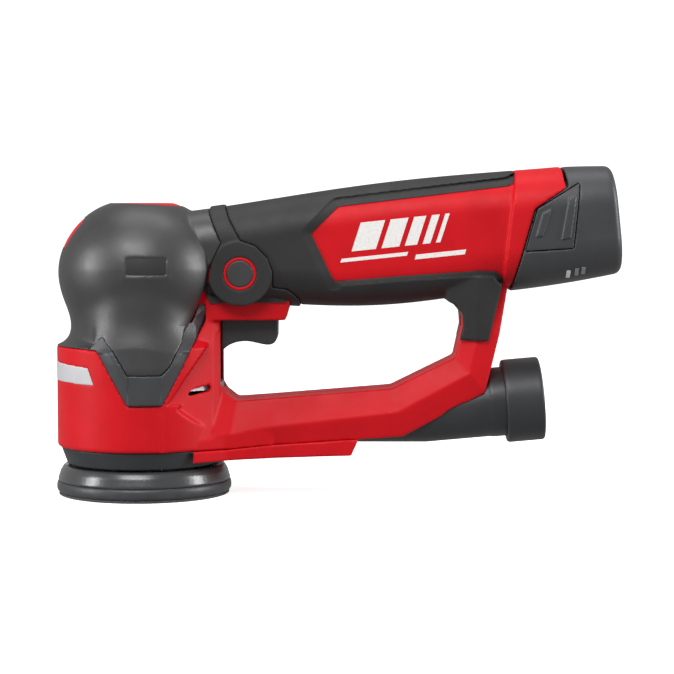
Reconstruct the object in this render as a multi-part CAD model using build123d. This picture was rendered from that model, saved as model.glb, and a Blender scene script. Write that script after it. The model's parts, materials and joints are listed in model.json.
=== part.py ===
"""Cordless orbital sander with a loop handle, a slide-in battery pack and a rear dust outlet.

Millimetres. The origin is on the motor axis, in the plane of the sanding face, so Z = 0 is the work.
-X is the nose of the tool, +X is the battery end, -Y is the tool's left side and +Z is up.
Every physical piece is one STEP file in parts/, named after the piece.
"""

from build123d import *
import math
import os

os.makedirs("parts", exist_ok=True)

# ---------------------------------------------------------------- driving dimensions
PAD_RADIUS = 40.0            # 80 mm sanding disc
ORBIT_RADIUS = 1.5           # 3 mm orbit
BASE_RADIUS = 39.6           # lower head casing
BASE_BOTTOM = 22.5
BASE_TOP = 69.0              # where the rubber boot takes over at the nose
WALL = 2.3                   # moulded shell wall
RUBBER = 1.8                 # rubber skin over the shells
GAP = 0.3                    # running gap between pieces of different bodies
FIT = 0.05                   # radial clearance of a turning or sliding fit

HANDLE_TILT = 6.0            # the handle, the battery and its slide rise towards the rear
PORT_TILT = 5.0              # the dust outlet rises a little less
PORT_RADIUS = 16.0
PORT_WALL = 2.0
HOSE_RADIUS = PORT_RADIUS + FIT
ADAPTER_RADIUS = 19.2
ADAPTER_LENGTH = 17.5

DIAL_AT = (155.3, 80.0)      # thumbwheel centre in the rear post, x and z
DIAL_RADIUS = 8.0
SHUTTLE_AT = (45.8, 102.0)   # lock shuttle axis, x and z
SHUTTLE_RADIUS = 6.0
SHUTTLE_TRAVEL = 3.0
TRIGGER_TRAVEL = 5.5
STEM = (38.0, 38.0, 10.0)    # battery stem: width, height, corner radius
CELL_RADIUS = 9.1
CELL_LENGTH = 62.0

# Handle stations: x, centre height, width, height, corner radius
HANDLE = [
    (16.0, 108.5, 44.0, 42.0, 16.0),
    (45.0, 111.0, 44.5, 44.5, 16.5),
    (78.0, 112.7, 44.5, 51.5, 17.0),
    (138.0, 118.2, 46.0, 55.7, 18.0),
    (194.0, 124.0, 48.0, 53.2, 19.0),
]

# Motor and drive stack, heights along the motor axis
HUB_Z = (10.5, 23.5)
PAD_BEARING = (5.0, 13.0, 15.0, 23.0)       # bore radius, outer radius, bottom, top
LOWER_BEARING = (4.0, 11.0, 51.5, 58.5)
UPPER_BEARING = (2.5, 8.0, 110.5, 115.5)
FAN = (28.0, 26.8, 38.0)                    # radius, bottom, top
STATOR = (25.0, 14.0, 76.0, 100.0)          # outer radius, bore radius, bottom, top
ROTOR_RADIUS = 13.2


# ---------------------------------------------------------------- helpers
def block(x0, x1, y0, y1, z0, z1):
    centre = Pos((x0 + x1) / 2, (y0 + y1) / 2, (z0 + z1) / 2)
    return centre * Box(x1 - x0, y1 - y0, z1 - z0)


def disc(radius, z0, z1, x=0.0, y=0.0):
    return Pos(x, y, (z0 + z1) / 2) * Cylinder(radius, z1 - z0)


def ring(outer, inner, z0, z1, x=0.0, y=0.0):
    return disc(outer, z0, z1, x, y) - disc(inner, z0 - 1, z1 + 1, x, y)


def cross_pin(radius, at, y0, y1):
    """A cylinder along Y, through the point at = (x, z)."""
    return Pos(at[0], (y0 + y1) / 2, at[1]) * Rot(90, 0, 0) * Cylinder(radius, y1 - y0)


def side_prism(points, y0, y1):
    """A side outline of (x, z) points, extruded from y0 to y1."""
    return Pos(0, y1, 0) * extrude(Plane.XZ * Polygon(*points, align=None), amount=y1 - y0)


def plan_prism(points, z0, z1):
    """A plan outline of (x, y) points, extruded from z0 to z1."""
    return Pos(0, 0, z0) * extrude(Plane.XY * Polygon(*points, align=None), amount=z1 - z0)


def mirrored(points):
    """A plan outline given on one side of the centre plane, completed on the other."""
    return list(points) + [(x, -y) for x, y in reversed(points)]


def tilted(x, z, angle):
    """A plane at (x, 0, z) that faces rearwards and up by angle degrees. Its own Y is up."""
    a = math.radians(angle)
    return Plane(origin=(x, 0, z), x_dir=(0, 1, 0), z_dir=(math.cos(a), 0, math.sin(a)))


def handle_solid(inset=0.0, stations=HANDLE):
    sections = [
        tilted(x, z, HANDLE_TILT)
        * RectangleRounded(w - 2 * inset, h - 2 * inset, r - inset)
        for x, z, w, h, r in stations
    ]
    return loft(sections)


def head_solid(inset=0.0):
    """The head's outer form: base, waist and dome about the motor axis, the waist filled at the sides."""
    base_r = BASE_RADIUS - inset
    lines = Polyline(
        (14.0, 134.1 - inset), (0, 134.1 - inset), (0, BASE_BOTTOM), (base_r, BASE_BOTTOM),
        (base_r, BASE_TOP - inset),
    )
    side = Spline(
        (base_r, BASE_TOP - inset), (33.4 - inset, 75.5), (33.6 - inset, 81.5),
        (36.3 - inset, 89.7), (38.75 - inset, 102.0), (35.6 - inset, 115.5),
        (24.5 - inset, 129.0 - 0.8 * inset), (14.0, 134.1 - inset),
    )
    turned = revolve(Plane.XZ * make_face(lines + side), axis=Axis.Z)
    cheeks = loft([
        Pos(0, 0, 58.0) * Ellipse(31.6 - inset, 38.9 - inset),
        Pos(0, 0, 100.0) * Ellipse(31.2 - inset, 37.5 - inset),
    ])
    return turned + cheeks


def near(solid):
    """The half on the tool's left side, y < 0."""
    return solid & block(-60, 240, -60, 0, -5, 170)


def far(solid):
    return solid & block(-60, 240, 0, 60, -5, 170)


def write(name, shape):
    export_step(shape, f"parts/{name}.step")


# ---------------------------------------------------------------- region outlines, seen from the side
# Rubber boot over the dome, with a tongue that points down on each side.
BOOT_REGION = [
    (-50, 69.0), (-21.6, 68.4), (-14.8, 74.2), (-9.5, 67.8), (-3.1, 57.3), (11.6, 57.3), (15.5, 61.5),
    (24.3, 80.3), (31.4, 97.3), (32.2, 105.0), (37.5, 115.8), (31.6, 129.5), (31.6, 145), (-50, 145),
]
# Frame of rubber below the boot and behind it.
FRAME_REGION = [
    (-50, 69.0), (-17.5, 68.3), (-3.5, 43.6), (11.8, 43.6), (20.9, 60.9), (25.7, 72.0), (33.4, 87.6),
    (40, 87.6), (40, 145), (-50, 145),
]
# Rubber grip on the handle, with its leg down the rear post.
GRIP_REGION = [
    (31.4, 80.0), (130, 80.0), (141.0, 68.0), (147.0, 71.6),
    (158.3, 71.2), (163.3, 92.0), (165.0, 99.5), (161.5, 103.0), (154.0, 103.4), (118.0, 101.0),
    (88.2, 98.6), (77.9, 120.0), (90.0, 132.2), (166.5, 141.5), (174.5, 145.0), (177.0, 155.0),
    (28.0, 155.0), (31.6, 129.5), (37.5, 115.8), (32.2, 105.0), (31.4, 97.3),
]
# Where the red casing ends and the battery cap begins.
PACK_LINE = [(192.6, 156.0), (192.0, 149.0), (193.2, 141.0), (178.4, 131.2), (173.0, 111.9), (167.2, 90.0)]
# The front of the hand opening, where the round base would stand into it.
FINGER_SPACE = [(36.3, 80.7), (36.3, 51.0), (43.5, 43.8), (50.0, 44.3), (50.0, 80.7)]
# Rubber on the upper part of the rear post.
POST_REGION = [
    (138.4, 90.0), (143.4, 87.4), (146.4, 84.0), (146.8, 78.0), (145.2, 71.6), (158.3, 71.2), (163.0, 91.0),
    (164.8, 99.5), (163.0, 102.0), (138.4, 102.0),
]
# Raised collar at the front of the grip: a band over the top, a round boss and a foot over the guard.
COLLAR_REGION = [
    (30.6, 140.0), (30.9, 131.0), (32.9, 125.5), (37.6, 115.8), (35.9, 112.8), (33.3, 107.5), (32.2, 102.3),
    (31.4, 97.3), (28.0, 88.9), (31.0, 86.0), (72.8, 86.0), (72.8, 89.5), (69.8, 92.5), (66.8, 94.8),
    (60.2, 95.5), (60.2, 102.9), (58.0, 109.0), (52.6, 114.5), (45.7, 116.9), (41.0, 125.6), (38.2, 133.0),
    (38.2, 140.0),
]
COLLAR_RISE = 0.9


# ---------------------------------------------------------------- casings
def loop_solid():
    """Lower bar and rear post: a six-sided section that is widest along its crease."""
    stations = [  # inner x, z, half width; crease; outer
        ((34.0, 51.0, 16.0), (34.0, 28.25, 24.8), (34.0, 22.6, 24.0)),
        ((43.5, 43.8, 14.5), (41.0, 29.5, 21.2), (39.0, 22.6, 20.0)),
        ((60.0, 45.0, 14.0), (59.0, 32.0, 18.6), (58.5, 23.8, 17.0)),
        ((114.5, 49.4, 13.5), (117.2, 38.8, 18.0), (119.3, 27.5, 16.0)),
        ((143.4, 63.6, 13.0), (150.0, 56.5, 17.5), (157.0, 47.5, 15.0)),
        ((146.6, 78.0, 13.0), (154.5, 76.2, 16.5), (163.6, 74.5, 14.0)),
        ((146.6, 96.0, 10.0), (157.0, 96.0, 12.0), (167.4, 96.0, 11.5)),
    ]
    sections = []
    for points in stations:
        near_side = [(x, -w, z) for x, z, w in points]
        far_side = [(x, w, z) for x, z, w in reversed(points)]
        sections.append(Wire.make_polygon(near_side + far_side))
    return Solid.make_loft(sections, ruled=True)


POST_FACE = (0.588, -0.799, 0.125, 42.44)    # leaning face of the front post: a x + b y + c z = d


def post_half_width(x, z):
    a, b, c, d = POST_FACE
    return (d - c * z - a * x) / -b


def front_post():
    """The post between the base and the guard, with a leaning face on each side."""
    sections = []
    for z, step in ((26.0, 4.2), (92.0, 3.0)):
        w = post_half_width(33.4, z)
        plan = mirrored([(20.0, -post_half_width(20.0, z)), (33.4, -w), (36.5, step - w)])
        sections.append(Pos(0, 0, z) * make_face(Polyline(*plan, close=True)))
    behind_trim = [(40, 20), (40, 95), (33.4, 95), (33.4, 87.6), (25.7, 72.0), (20.9, 60.9), (11.8, 43.6)]
    return loft(sections, ruled=True) & side_prism(behind_trim + [(11.8, 20)], -60, 60)


def post_cut(inset=0.0):
    """What the leaning face takes off the round base, out to the rubber frame's edge."""
    region = [(14.2, 41.0), (26.9, 27.0), (70.0, 27.0), (70.0, 88.0), (34.2, 88.0)]
    if inset:
        region = [(9.5, 41.5), (24.9, 22.5), (74.0, 22.5), (74.0, 92.0), (31.5, 92.0)]
    prism = Pos(0, -44, 0) * extrude(Plane.XZ * Polygon(*region, align=None), amount=-44, taper=20)
    a, b, c, d = POST_FACE
    n = math.sqrt(a * a + b * b + c * c)
    at = Vector(33.4, -post_half_width(33.4, 45.0), 45.0) - Vector(a / n, b / n, c / n) * inset
    face = Plane(origin=at, z_dir=(a / n, b / n, c / n))
    outside = extrude(face * Rectangle(260, 260), amount=60)
    cut = prism & outside
    return cut + mirror(cut, Plane.XZ)


def base_wedge():
    """The lower casing narrows from the round base to the bar, up to the crease."""
    plan = mirrored([(11.0, -38.5), (38.8, -22.0), (60.0, -18.0)])
    prism = plan_prism(plan, BASE_BOTTOM, 60)
    side = [(10, 22.5), (41, 22.5), (60, 24.0), (60, 31.9), (38.8, 29.1), (26.9, 27.0), (12.9, 39.8)]
    side = side + [(10, 39.8)]
    return prism & side_prism(side, -40, 40)


def trigger_guard():
    side = [(30.0, 80.6), (66.0, 80.6), (68.0, 87.6), (68.2, 92.0), (30.0, 92.0)]
    plan = mirrored([(29.0, -17.5), (60.0, -15.5), (69.5, -14.0)])
    return plan_prism(plan, 70, 95) & side_prism(side, -20, 20)


def rear_collar():
    region = [(171.0, 156), (163.0, 85.0), (200, 85), (200, 156)]
    return handle_solid() & side_prism(region, -40, 40)


def behind_pack_line(shift=0.0):
    line = [(x + shift, z) for x, z in PACK_LINE]
    return side_prism([*line, (260.0, 90.0), (260.0, 156.0)], -40, 40)


def duct_sections(inset):
    """Flat in the bar, round at the outlet: x, centre height, width, height, corner radius."""
    rows = [
        (33.4, 32.6, 25.0, 13.0, 4.0),
        (100.0, 32.6, 26.0, 17.0, 7.5),
        (130.0, 36.0, 29.0, 24.4, 11.5),
        (162.0, 41.98, 31.4, 31.4, 15.6),
    ]
    tilts = (0.0, 0.0, 3.0, PORT_TILT)
    return [
        tilted(x, z, t) * RectangleRounded(w - 2 * inset, h - 2 * inset, r - inset)
        for (x, z, w, h, r), t in zip(rows, tilts)
    ]


PORT_PLANE = tilted(160.0, 41.8, PORT_TILT)


def along_port(radius, s0, s1):
    """A cylinder on the outlet's axis, from s0 to s1 rearwards of its start."""
    return PORT_PLANE * Pos(0, 0, (s0 + s1) / 2) * Cylinder(radius, s1 - s0)


def dust_duct():
    outside = loft(duct_sections(0.0), ruled=True) + along_port(PORT_RADIUS, 0.0, 13.0)
    inside = loft(duct_sections(PORT_WALL), ruled=True)
    mouth = block(32.0, 36.0, -12.5 + PORT_WALL, 12.5 - PORT_WALL, 28.1, 37.1)
    return outside - inside - along_port(PORT_RADIUS - PORT_WALL, 1.0, 14.0) - mouth


SCREWS = [  # x, z, y of the head's seat, y of the tip
    (66.0, 128.5, 9.0, -9.0),
    (88.0, 94.5, 9.0, -9.0),
    (152.5, 61.5, 8.0, -8.0),
    (31.6, 74.0, 8.0, -9.0),
    (-31.6, 60.0, 6.0, -9.0),
    (-12.0, 123.0, 9.0, -9.0),
]
SCREW_SHANK = 1.5
SCREW_HEAD = (3.0, 2.0)
BOSS_RADIUS = 4.6


def screw_wells():
    """The open well over each screw head, out to the right side."""
    return [cross_pin(SCREW_HEAD[0] + 0.3, (x, z), seat, 45) for x, z, seat, tip in SCREWS]


def shell_cavity():
    head = head_solid(RUBBER + WALL) & block(-60, 60, -60, 60, BASE_TOP - 3, 130)
    base = disc(BASE_RADIUS - WALL, BASE_BOTTOM - 1, BASE_TOP - 1.5)
    head = head - post_cut(WALL)
    base = base - post_cut(WALL)
    bay = handle_solid(RUBBER + WALL) & block(20, 176, -40, 40, 80, 160)
    rear_post = side_prism([(149, 95), (149.2, 76), (162, 76), (165, 95)], -10.5, 10.5)
    bar = loft(duct_sections(-0.2), ruled=True) & block(30, 131, -30, 30, 10, 60)
    tube = loft(duct_sections(-0.2), ruled=True) & block(130, 172, -30, 30, 10, 70)
    pack = along_handle(STEM[0] + 0.8, STEM[1] + 0.8, STEM[2] + 0.4, 98.5, 215)
    return [head, base, bay, rear_post, bar, tube, along_port(PORT_RADIUS + 0.2, -1, 20), pack]


def along_handle(width, height, corner, x0, x1, drop=0.0):
    """A bar of rounded section along the battery's slide, between the planes at x0 and x1."""
    z = 114.9 + (x0 - 100.0) * math.tan(math.radians(HANDLE_TILT)) - drop
    plane = tilted(x0, z, HANDLE_TILT)
    length = (x1 - x0) / math.cos(math.radians(HANDLE_TILT))
    return extrude(plane * RectangleRounded(width, height, corner), amount=length)


def guide_ribs():
    """Ribs in the handle that the battery's stem slides between."""
    ribs = None
    for x in (112.0, 134.0, 156.0):
        slab = handle_solid(RUBBER + 0.5) & block(x, x + 2.4, -40, 40, 80, 160)
        ribs = slab if ribs is None else ribs + slab
    return ribs


def vents():
    upper = [(21.7, 47.0), (32.1, 49.1), (32.1, 51.9), (24.0, 50.0)]
    lower = [(24.0, 44.6), (33.0, 46.1), (35.0, 44.4), (34.0, 42.8), (26.6, 42.0)]
    return [side_prism(points, -30, 30) for points in (upper, lower)]


def casing():
    """The whole red casing before it is split into its left and right halves."""
    head = head_solid(RUBBER)
    red_base = head_solid()
    for region in (FRAME_REGION, BOOT_REGION, GRIP_REGION):
        red_base = red_base - side_prism(region, -60, 60)
    base_foot = disc(BASE_RADIUS, BASE_BOTTOM, BASE_BOTTOM + 6)
    base_foot = chamfer(base_foot.edges().group_by(Axis.Z)[0], 0.9)
    red_base = red_base - disc(60, 15, BASE_BOTTOM + 6) + base_foot
    solid = (head + red_base - post_cut()) + handle_solid(RUBBER) + loop_solid() + base_wedge()
    solid = solid + trigger_guard() + (front_post() - side_prism(FINGER_SPACE, -30, 30))
    solid = solid + rear_collar()
    solid = solid - behind_pack_line() - side_prism(FINGER_SPACE, -30, 30)
    for cavity in shell_cavity():
        solid = solid - cavity
    solid = solid + (guide_ribs() - along_handle(STEM[0] + 0.8, STEM[1] + 0.8, STEM[2] + 0.4, 98.5, 215))
    ledge = ring(BASE_RADIUS - WALL + 0.2, 34.6, 46.4, 48.9) - block(20, 50, -14, 14, 40, 50)
    solid = solid + ledge
    for x, z, seat, tip in SCREWS:
        solid = solid + (cross_pin(BOSS_RADIUS, (x, z), -45, 45) & casing_limit())
    for x, z, seat, tip in SCREWS:
        solid = solid - cross_pin(SCREW_SHANK, (x, z), tip, seat + 1)
    for well in screw_wells():
        solid = solid - well
    # openings: trigger, lock shuttle, thumbwheel, vents
    solid = solid - block(36.2, 62.9, -9.4, 9.4, 78, 92.5)
    solid = solid - cross_pin(SHUTTLE_RADIUS + FIT, SHUTTLE_AT, -30, 30)
    solid = solid - cross_pin(DIAL_RADIUS + 0.6, DIAL_AT, -3.6, 3.6)
    solid = solid - block(162.2, 170, -6.5, 6.5, 70, 88.5)
    for slot in vents():
        solid = solid - slot
    solid = solid - head_inserts(0.0)[0] - head_inserts(0.0)[1]
    return solid


def casing_limit():
    """Keeps the screw bosses inside the outer form."""
    return head_solid(RUBBER) + handle_solid(RUBBER) + loop_solid() + front_post()


def head_inserts(gap):
    """Red panels let into the boot: one on the crown, one on the upper nose."""
    crown = disc(15.6 - gap, 131.0, 134.4, x=2.0)
    nose_plane = Plane(origin=(-31.3, 0, 120.6), x_dir=(0, 1, 0), z_dir=(-0.76, 0, 0.65))
    nose = extrude(nose_plane * RectangleRounded(26 - 2 * gap, 16 - 2 * gap, 5), amount=4.0, both=True)
    return crown, nose


def rubber_skin():
    """One thickness of rubber over the head and the handle, cut below into its pieces."""
    outer = head_solid() + handle_solid()
    return outer - head_solid(RUBBER - 0.02) - handle_solid(RUBBER - 0.02)


def tongue():
    """Where the boot runs down over the base it stands proud."""
    proud = revolve(Plane.XZ * Polygon(
        (37.0, 50.0), (41.2, 50.0), (41.2, 60.0), (39.4, 80.0), (37.0, 80.0), align=None), axis=Axis.Z)
    proud = proud & block(-19.0, 30.0, -60, 60, 40, 90)
    return proud - head_solid(RUBBER - 0.02)


def head_boot():
    boot = rubber_skin() & side_prism(BOOT_REGION, -60, 60)
    boot = boot + (tongue() & side_prism(BOOT_REGION, -60, 60))
    boot = boot - loop_solid() - trigger_guard() - front_post()
    crown, nose = head_inserts(0.0)
    return boot - crown - nose


def crown_panel():
    crown = head_inserts(0.05)[0]
    return crown & head_solid(0.2) - disc(40, 100, 131.2)


def nose_panel():
    nose = head_inserts(0.05)[1]
    return (nose & head_solid(0.2)) - head_solid(RUBBER + 1.2)


def frame_solid():
    """The rubber frame round the boot, both sides together."""
    proud = revolve(Plane.XZ * Polygon(
        (37.0, 40.0), (40.6, 40.0), (40.6, 62.0), (39.2, 80.0), (37.0, 80.0), align=None), axis=Axis.Z)
    skin = head_solid() + (proud & block(-20, 30, -60, 60, 40, 80)) - head_solid(RUBBER - 0.02)
    frame = skin & side_prism(FRAME_REGION, -60, 60)
    frame = frame - side_prism(BOOT_REGION, -60, 60)
    frame = frame & block(-60, 32.0, -60, 60, 40, 96.0)
    frame = frame - side_prism(COLLAR_REGION, -60, 60)
    frame = frame - handle_solid(-0.3) - loop_solid() - base_wedge() - trigger_guard() - front_post()
    return frame - side_prism(GRIP_REGION, -60, 60)


def post_grip():
    """Rubber over the upper part of the rear post, up into the grip's underside."""
    sections = []
    for z, half_plan in (
        (71.0, [(142.0, -14.6), (153.0, -18.4), (164.0, -16.0)]),
        (103.0, [(138.0, -18.0), (154.0, -21.0), (167.0, -18.0)]),
    ):
        sections.append(Pos(0, 0, z) * make_face(Polyline(*mirrored(half_plan), close=True)))
    body = loft(sections, ruled=True)
    body = body & side_prism(POST_REGION, -22, 22)
    body = body - loop_solid() - handle_solid(-0.02) - cross_pin(DIAL_RADIUS + 0.6, DIAL_AT, -3.6, 3.6)
    return body - block(162.2, 170, -6.5, 6.5, 70, 88.5)


def collar_solid():
    """The raised rubber collar round the lock shuttle."""
    rise = handle_solid(-COLLAR_RISE) - handle_solid(RUBBER - 0.02)
    boss = cross_pin(14.5, SHUTTLE_AT, -23.6, 23.6) - handle_solid(RUBBER - 0.02)
    collar = (rise + boss) & side_prism(COLLAR_REGION, -40, 40)
    collar = collar - side_prism(BOOT_REGION, -60, 60) - head_solid(RUBBER - 0.02) - trigger_guard()
    collar = collar - front_post() - cross_pin(7.5, SHUTTLE_AT, -30, 30)
    return collar - block(36.2, 62.9, -9.4, 9.4, 78, 92.5)


def grip_solid():
    grip = rubber_skin() & side_prism(GRIP_REGION, -40, 40)
    grip = grip - side_prism(COLLAR_REGION, -60, 60)
    grip = grip - side_prism(BOOT_REGION, -60, 60) - trigger_guard() - rear_collar() - loop_solid()
    grip = grip - head_solid(RUBBER - 0.02) - front_post()
    for well in screw_wells():
        grip = grip - well
    return max(grip.solids(), key=lambda piece: piece.volume)


def lock_ring(side):
    y0, y1 = (19.8, 23.4) if side > 0 else (-23.4, -19.8)
    body = cross_pin(7.45, SHUTTLE_AT, y0, y1) - cross_pin(SHUTTLE_RADIUS + FIT, SHUTTLE_AT, -30, 30)
    return body - handle_solid(RUBBER)


def screws():
    group = []
    for x, z, seat, tip in SCREWS:
        head = cross_pin(SCREW_HEAD[0], (x, z), seat, seat + SCREW_HEAD[1])
        recess = cross_pin(1.3, (x, z), seat + 0.8, seat + 3)
        shank = cross_pin(SCREW_SHANK, (x, z), tip + 0.2, seat)
        group.append(head + shank - recess)
    return Compound(children=group)


# ---------------------------------------------------------------- base, skirt and fan
def keel_solid():
    plan = mirrored([(24.0, -31.5), (40.0, -22.6), (60.0, -18.4), (99.4, -17.4)])
    outline = [(25.0, 17.0), (96.0, 19.0), (99.4, 26.5), (60.0, 24.0), (40.0, 22.3), (25.0, 22.3)]
    side = side_prism(outline, -40, 40)
    return plan_prism(plan, 15, 30) & side


def duct_cover():
    cover = keel_solid() - loop_solid() - base_wedge() - disc(38.3, 10, 30)
    return cover - block(20, 110, -14.0, 14.0, 23.2, 40)


def skirt():
    outer = loft([Pos(0, 0, 14.6) * Circle(35.2), Pos(0, 0, 22.3) * Circle(38.0)])
    inner = loft([Pos(0, 0, 14.5) * Circle(32.8), Pos(0, 0, 22.4) * Circle(35.6)])
    lip = ring(37.1, 35.4, 22.0, 24.4)
    return outer + lip - inner


LEG_AT = [(sx * 27.5, sy * 9.0) for sx in (-1, 1) for sy in (-1, 1)]
LEG_RADIUS = 2.8


def fan_shroud():
    flange = ring(37.2, 19.5, 24.4, 26.4)
    wall = ring(33.2, 31.2, 26.4, 44.0)
    outlet = block(25, 40, -13.0, 13.0, 25.8, 39.6)
    return flange + wall - outlet


def legs():
    bodies = [disc(LEG_RADIUS, 13.3, 24.4, x, y) for x, y in LEG_AT]
    return Compound(children=bodies)


# ---------------------------------------------------------------- motor
def bearing(bore, outer, z0, z1, y=0.0):
    """A shielded ball bearing as one unit, with the groove between its rings on both faces."""
    body = ring(outer, bore, z0, z1, y=y)
    middle = (bore + outer) / 2
    width = (outer - bore) * 0.22
    for z in (z0, z1):
        body = body - ring(middle + width, middle - width, z - 0.4, z + 0.4, y=y)
    return body


def bearing_plate():
    bore, outer, z0, z1 = LOWER_BEARING
    plate = disc(BASE_RADIUS - WALL - 0.1, 49.0, 52.0) + disc(outer + 3.0, 49.0, z1 + 0.5)
    plate = plate - disc(outer + 0.02, z0, z1 + 1) - disc(bore + 2.0, 40, 60) - post_cut(WALL + 0.1)
    for k in range(6):
        a = math.radians(30 + 60 * k)
        plate = plate - disc(5.0, 45, 55, 24 * math.cos(a), 24 * math.sin(a))
    return plate


def motor_can():
    outer = STATOR[0]
    return ring(outer + 1.6, outer + 0.02, 59.2, 106.0) + ring(outer + 1.6, 14.05, 59.2, 61.0)


def end_bell():
    bore, outer, z0, z1 = UPPER_BEARING
    cap = disc(STATOR[0] + 1.6, 106.0, 108.5) + disc(outer + 2.0, 106.0, z1 + 1.0)
    cap = cap - disc(outer + 0.02, 100, z1) - disc(bore + 1.5, 100, 130)
    return cap


def stator_core():
    outer, inner, z0, z1 = STATOR
    core = ring(outer, inner, z0, z1)
    for k in range(9):
        slot = block(inner + 1.6, outer - 4.0, -2.9, 2.9, z0 - 1, z1 + 1)
        mouth = block(inner - 1, inner + 2, -0.9, 0.9, z0 - 1, z1 + 1)
        core = core - Rot(0, 0, 40 * k) * (slot + mouth)
    return core


def stator_coils():
    """One coil round each tooth, seen above and below the core."""
    outer, inner, z0, z1 = STATOR
    coils = []
    for k in range(9):
        turn = block(inner + 1.9, outer - 4.3, -5.0, 5.0, z0 - 4.0, z0 - 0.05)
        top = block(inner + 1.9, outer - 4.3, -5.0, 5.0, z1 + 0.05, z1 + 4.0)
        place = Rot(0, 0, 40 * k + 20)
        coils += [place * turn, place * top]
    merged = coils[0]
    for coil in coils[1:]:
        merged = merged + coil
    return merged


def motor_shaft():
    """Straight shaft with the crank pin that carries the pad's bearing."""
    main = disc(LOWER_BEARING[0] - FIT, 24.0, 104.0)
    top = disc(UPPER_BEARING[0] - FIT, 104.0, 116.0)
    flange = disc(7.0, 23.8, 26.0)
    crank = disc(PAD_BEARING[0] - FIT, 15.2, 24.0, y=ORBIT_RADIUS)
    return main + top + flange + crank - disc(2.0, 10, 23, y=ORBIT_RADIUS)


def rotor_core():
    return ring(ROTOR_RADIUS, LOWER_BEARING[0], STATOR[2] + 1, STATOR[3] - 1)


def dust_fan():
    radius, z0, z1 = FAN
    hub = ring(9.0, LOWER_BEARING[0], z0, z1)
    back = ring(radius, LOWER_BEARING[0], z1 - 1.6, z1)
    wheel = hub + back
    blade = block(8.0, radius - 0.5, -0.7, 0.7, z0 + 0.5, z1 - 1.0)
    for k in range(11):
        wheel = wheel + Rot(0, 0, k * 360 / 11) * Pos(0, -3, 0) * blade
    return wheel & disc(radius, z0, z1) - disc(LOWER_BEARING[0], z0 - 1, z1 + 1)


def counterweight():
    half = (disc(21.0, 38.2, 45.0) & block(-30, 30, -30, 2.0, 30, 50)) + disc(8.5, 38.2, 45.0)
    return half - disc(LOWER_BEARING[0], 30, 50)


def crank_screw():
    """Centre screw and washer that hold the pad's bearing on the crank pin."""
    head = disc(5.0, 10.9, 13.4, y=ORBIT_RADIUS) + disc(6.8, 13.4, 14.95, y=ORBIT_RADIUS)
    hexagon = Pos(0, ORBIT_RADIUS, 10.4) * extrude(RegularPolygon(2.5, 6), amount=2.2)
    return head + disc(1.95, 14.9, 22.0, y=ORBIT_RADIUS) - hexagon


# ---------------------------------------------------------------- sanding pad
HOLES = [(25.5 * math.cos(math.radians(60 * k)), 25.5 * math.sin(math.radians(60 * k))) for k in range(6)]
HOLE_RADIUS = 4.2


SCREW_CIRCLE = [(13.0 * math.cos(math.radians(a)), 13.0 * math.sin(math.radians(a))) for a in (90, 210, 330)]


def drilled(solid, screw_radius):
    """Six dust holes and three screw holes, down through one layer of the pad."""
    for x, y in HOLES:
        solid = solid - disc(HOLE_RADIUS, -1, 30, x, y + ORBIT_RADIUS)
    for x, y in SCREW_CIRCLE:
        solid = solid - disc(screw_radius, -1, 13.0, x, y + ORBIT_RADIUS)
    return solid


def pad_ring(rows):
    """A turned pad layer from (radius, z) rows, on the pad's own axis."""
    outline = [(0, rows[0][1]), *rows, (0, rows[-1][1])]
    return Pos(0, ORBIT_RADIUS, 0) * revolve(Plane.XZ * Polygon(*outline, align=None), axis=Axis.Z)


def hook_face():
    return drilled(disc(PAD_RADIUS - 0.6, 0.0, 1.2, 0, ORBIT_RADIUS), 3.4)


def backing_pad():
    rows = [(PAD_RADIUS - 0.8, 1.2), (PAD_RADIUS, 2.2), (PAD_RADIUS, 5.6), (39.6, 6.4)]
    return drilled(pad_ring(rows), 3.4)


def pad_plate():
    body = pad_ring([(39.6, 6.4), (39.8, 7.2), (38.6, 11.0), (37.4, 13.0), (36.6, 13.6)])
    body = body - disc(33.5, HUB_Z[0], 20, 0, ORBIT_RADIUS)
    for x, y in SCREW_CIRCLE:
        body = body - disc(3.2, 6.0, 8.4, x, y + ORBIT_RADIUS)
    return drilled(body, 1.6)


def pad_hub():
    z0, z1 = HUB_Z
    hub = disc(33.4, z0, z0 + 2.6, 0, ORBIT_RADIUS) + disc(PAD_BEARING[1] + 2.4, z0, z1, 0, ORBIT_RADIUS)
    hub = hub - disc(PAD_BEARING[1] + 0.02, PAD_BEARING[2], z1 + 1, 0, ORBIT_RADIUS)
    hub = hub - disc(8.5, 0, 20, 0, ORBIT_RADIUS)
    return drilled(hub, 1.6)


def pad_screws():
    group = []
    for x, y in SCREW_CIRCLE:
        head = disc(3.1, 6.6, 8.4, x, y + ORBIT_RADIUS)
        shank = disc(1.58, 8.4, 12.8, x, y + ORBIT_RADIUS)
        socket = Pos(x, y + ORBIT_RADIUS, 6.0) * extrude(RegularPolygon(1.7, 6), amount=1.8)
        group.append(head + shank - socket)
    return Compound(children=group)


def rim_studs():
    spots = [(sx * 34.2, sy * 8.0 + ORBIT_RADIUS) for sx in (-1, 1) for sy in (-1, 1)]
    return Compound(children=[disc(1.3, 13.6, 14.2, x, y) for x, y in spots])


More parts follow.
